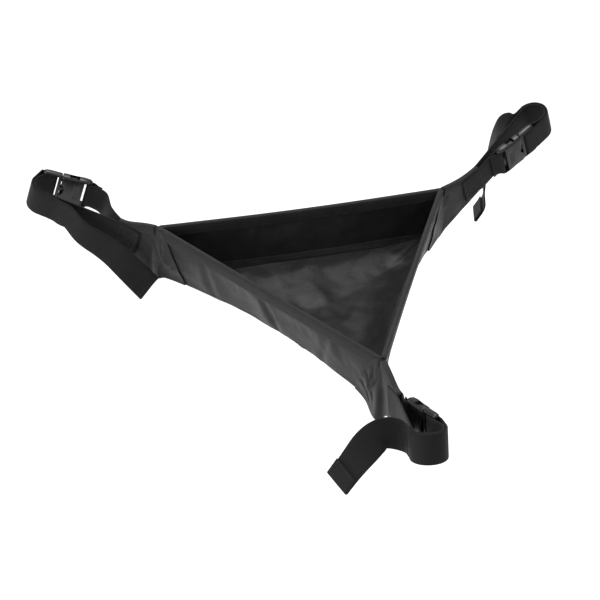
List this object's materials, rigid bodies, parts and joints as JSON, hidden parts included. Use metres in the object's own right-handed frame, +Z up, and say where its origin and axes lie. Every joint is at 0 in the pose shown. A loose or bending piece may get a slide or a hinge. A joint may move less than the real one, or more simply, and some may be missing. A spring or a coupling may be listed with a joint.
{
  "type": "tripod stone bag",
  "caption": "Three-cornered cloth tray that hangs between a tripod's legs by buckled webbing loops and holds ballast.",
  "frame": {"origin": "on the tripod's axis, which is the bag's own, level with the middle of the leg loops", "axes": "+Z up along the tripod's axis; the front corner points to -Y and the back wall faces +Y"},
  "size_m": [0.4968, 0.4472, 0.1194],
  "materials": {
    "bag_cloth": "satin woven cloth",
    "binding_tape": "ribbed woven tape",
    "webbing": "matte woven webbing",
    "buckle_plastic": "satin moulded plastic"
  },
  "bodies": {
    "bag": {"base_panel": "bag_cloth", "wall_back": "bag_cloth", "rim_binding_back": "binding_tape", "seam_tape_back": "binding_tape", "wall_front_left": "bag_cloth", "rim_binding_front_left": "binding_tape", "seam_tape_front_left": "binding_tape", "wall_front_right": "bag_cloth", "rim_binding_front_right": "binding_tape", "seam_tape_front_right": "binding_tape", "arm_lap_left_a": "bag_cloth", "arm_lap_left_b": "bag_cloth", "arm_lap_front_a": "bag_cloth", "arm_lap_front_b": "bag_cloth", "arm_lap_right_a": "bag_cloth", "arm_lap_right_b": "bag_cloth"},
    "arm_left": {"arm_left": "bag_cloth", "short_strap_left": "webbing", "buckle_socket_left": "buckle_plastic", "loop_strap_left": "webbing"},
    "plug_left": {"buckle_plug_left": "buckle_plastic", "leg_wrap_left": "webbing"},
    "prong_left_upper": {"prong_left_upper": "buckle_plastic"},
    "prong_left_lower": {"prong_left_lower": "buckle_plastic"},
    "tail_left": {"strap_tail_left": "webbing"},
    "arm_front": {"arm_front": "bag_cloth", "short_strap_front": "webbing", "buckle_socket_front": "buckle_plastic", "loop_strap_front": "webbing"},
    "plug_front": {"buckle_plug_front": "buckle_plastic", "leg_wrap_front": "webbing"},
    "prong_front_upper": {"prong_front_upper": "buckle_plastic"},
    "prong_front_lower": {"prong_front_lower": "buckle_plastic"},
    "tail_front": {"strap_tail_front": "webbing"},
    "arm_right": {"arm_right": "bag_cloth", "short_strap_right": "webbing", "buckle_socket_right": "buckle_plastic", "loop_strap_right": "webbing"},
    "plug_right": {"buckle_plug_right": "buckle_plastic", "leg_wrap_right": "webbing"},
    "prong_right_upper": {"prong_right_upper": "buckle_plastic"},
    "prong_right_lower": {"prong_right_lower": "buckle_plastic"},
    "tail_right": {"strap_tail_right": "webbing"}
  },
  "joints": [
    {"name": "arm_swing_left", "type": "hinge", "parent": "bag", "child": "arm_left", "pos_m": [-0.13337, 0.077, 0], "axis": [0, 0, 1], "range_deg": [-85, 12]},
    {"name": "buckle_release_left", "type": "slide", "parent": "arm_left", "child": "plug_left", "axis": [-0.9319, 0.2492, 0.2634], "range_m": [0, 0.03], "deforming": ["loop_strap_left"]},
    {"name": "prong_squeeze_left_upper", "type": "hinge", "parent": "plug_left", "child": "prong_left_upper", "pos_m": [-0.20146, 0.15128, 0.00022], "axis": [0.2857, 0.9519, 0.1105], "range_deg": [0, 6], "stiffness_Nm_per_rad": 0.3},
    {"name": "prong_squeeze_left_lower", "type": "hinge", "parent": "plug_left", "child": "prong_left_lower", "pos_m": [-0.20597, 0.15488, -0.01914], "axis": [-0.2857, -0.9519, -0.1105], "range_deg": [0, 6], "stiffness_Nm_per_rad": 0.3},
    {"name": "tail_bend_left", "type": "hinge", "parent": "plug_left", "child": "tail_left", "pos_m": [-0.21281, 0.12204, -0.01311], "axis": [0, 0, 1], "range_deg": [-15, 0], "stiffness_Nm_per_rad": 0.05},
    {"name": "arm_swing_front", "type": "hinge", "parent": "bag", "child": "arm_front", "pos_m": [0, -0.154, 0], "axis": [0, 0, 1], "range_deg": [-85, 85]},
    {"name": "buckle_release_front", "type": "slide", "parent": "arm_front", "child": "plug_front", "axis": [0.1297, -0.9399, 0.3158], "range_m": [0, 0.03], "deforming": ["loop_strap_front"]},
    {"name": "prong_squeeze_front_upper", "type": "hinge", "parent": "plug_front", "child": "prong_front_upper", "pos_m": [0.00624, -0.23401, -0.00445], "axis": [-0.9916, -0.1217, 0.045], "range_deg": [0, 6], "stiffness_Nm_per_rad": 0.3},
    {"name": "prong_squeeze_front_lower", "type": "hinge", "parent": "plug_front", "child": "prong_front_lower", "pos_m": [0.00616, -0.24045, -0.02359], "axis": [0.9916, 0.1217, -0.045], "range_deg": [0, 6], "stiffness_Nm_per_rad": 0.3},
    {"name": "tail_bend_front", "type": "hinge", "parent": "plug_front", "child": "tail_front", "pos_m": [-0.01545, -0.25251, -0.00878], "axis": [0, 0, 1], "range_deg": [-5, 10], "stiffness_Nm_per_rad": 0.05},
    {"name": "arm_swing_right", "type": "hinge", "parent": "bag", "child": "arm_right", "pos_m": [0.13337, 0.077, 0], "axis": [0, 0, 1], "range_deg": [-85, 85]},
    {"name": "buckle_release_right", "type": "slide", "parent": "arm_right", "child": "plug_right", "axis": [0.8741, 0.3283, 0.358], "range_m": [0, 0.03], "deforming": ["loop_strap_right"]},
    {"name": "prong_squeeze_right_upper", "type": "hinge", "parent": "plug_right", "child": "prong_right_upper", "pos_m": [0.21783, 0.10887, 0.00843], "axis": [0.3573, -0.9338, -0.0162], "range_deg": [0, 6], "stiffness_Nm_per_rad": 0.3},
    {"name": "prong_squeeze_right_lower", "type": "hinge", "parent": "plug_right", "child": "prong_right_lower", "pos_m": [0.22448, 0.11174, -0.01042], "axis": [-0.3573, 0.9338, 0.0162], "range_deg": [0, 6], "stiffness_Nm_per_rad": 0.3},
    {"name": "tail_bend_right", "type": "hinge", "parent": "plug_right", "child": "tail_right", "pos_m": [0.22952, 0.13941, 0.00638], "axis": [0, 0, 1], "range_deg": [-10, 2], "stiffness_Nm_per_rad": 0.05}
  ],
  "couplings": [
    {"joint": "prong_squeeze_left_lower", "follows": "prong_squeeze_left_upper", "ratio": 1},
    {"joint": "prong_squeeze_front_lower", "follows": "prong_squeeze_front_upper", "ratio": 1},
    {"joint": "prong_squeeze_right_lower", "follows": "prong_squeeze_right_upper", "ratio": 1}
  ]
}
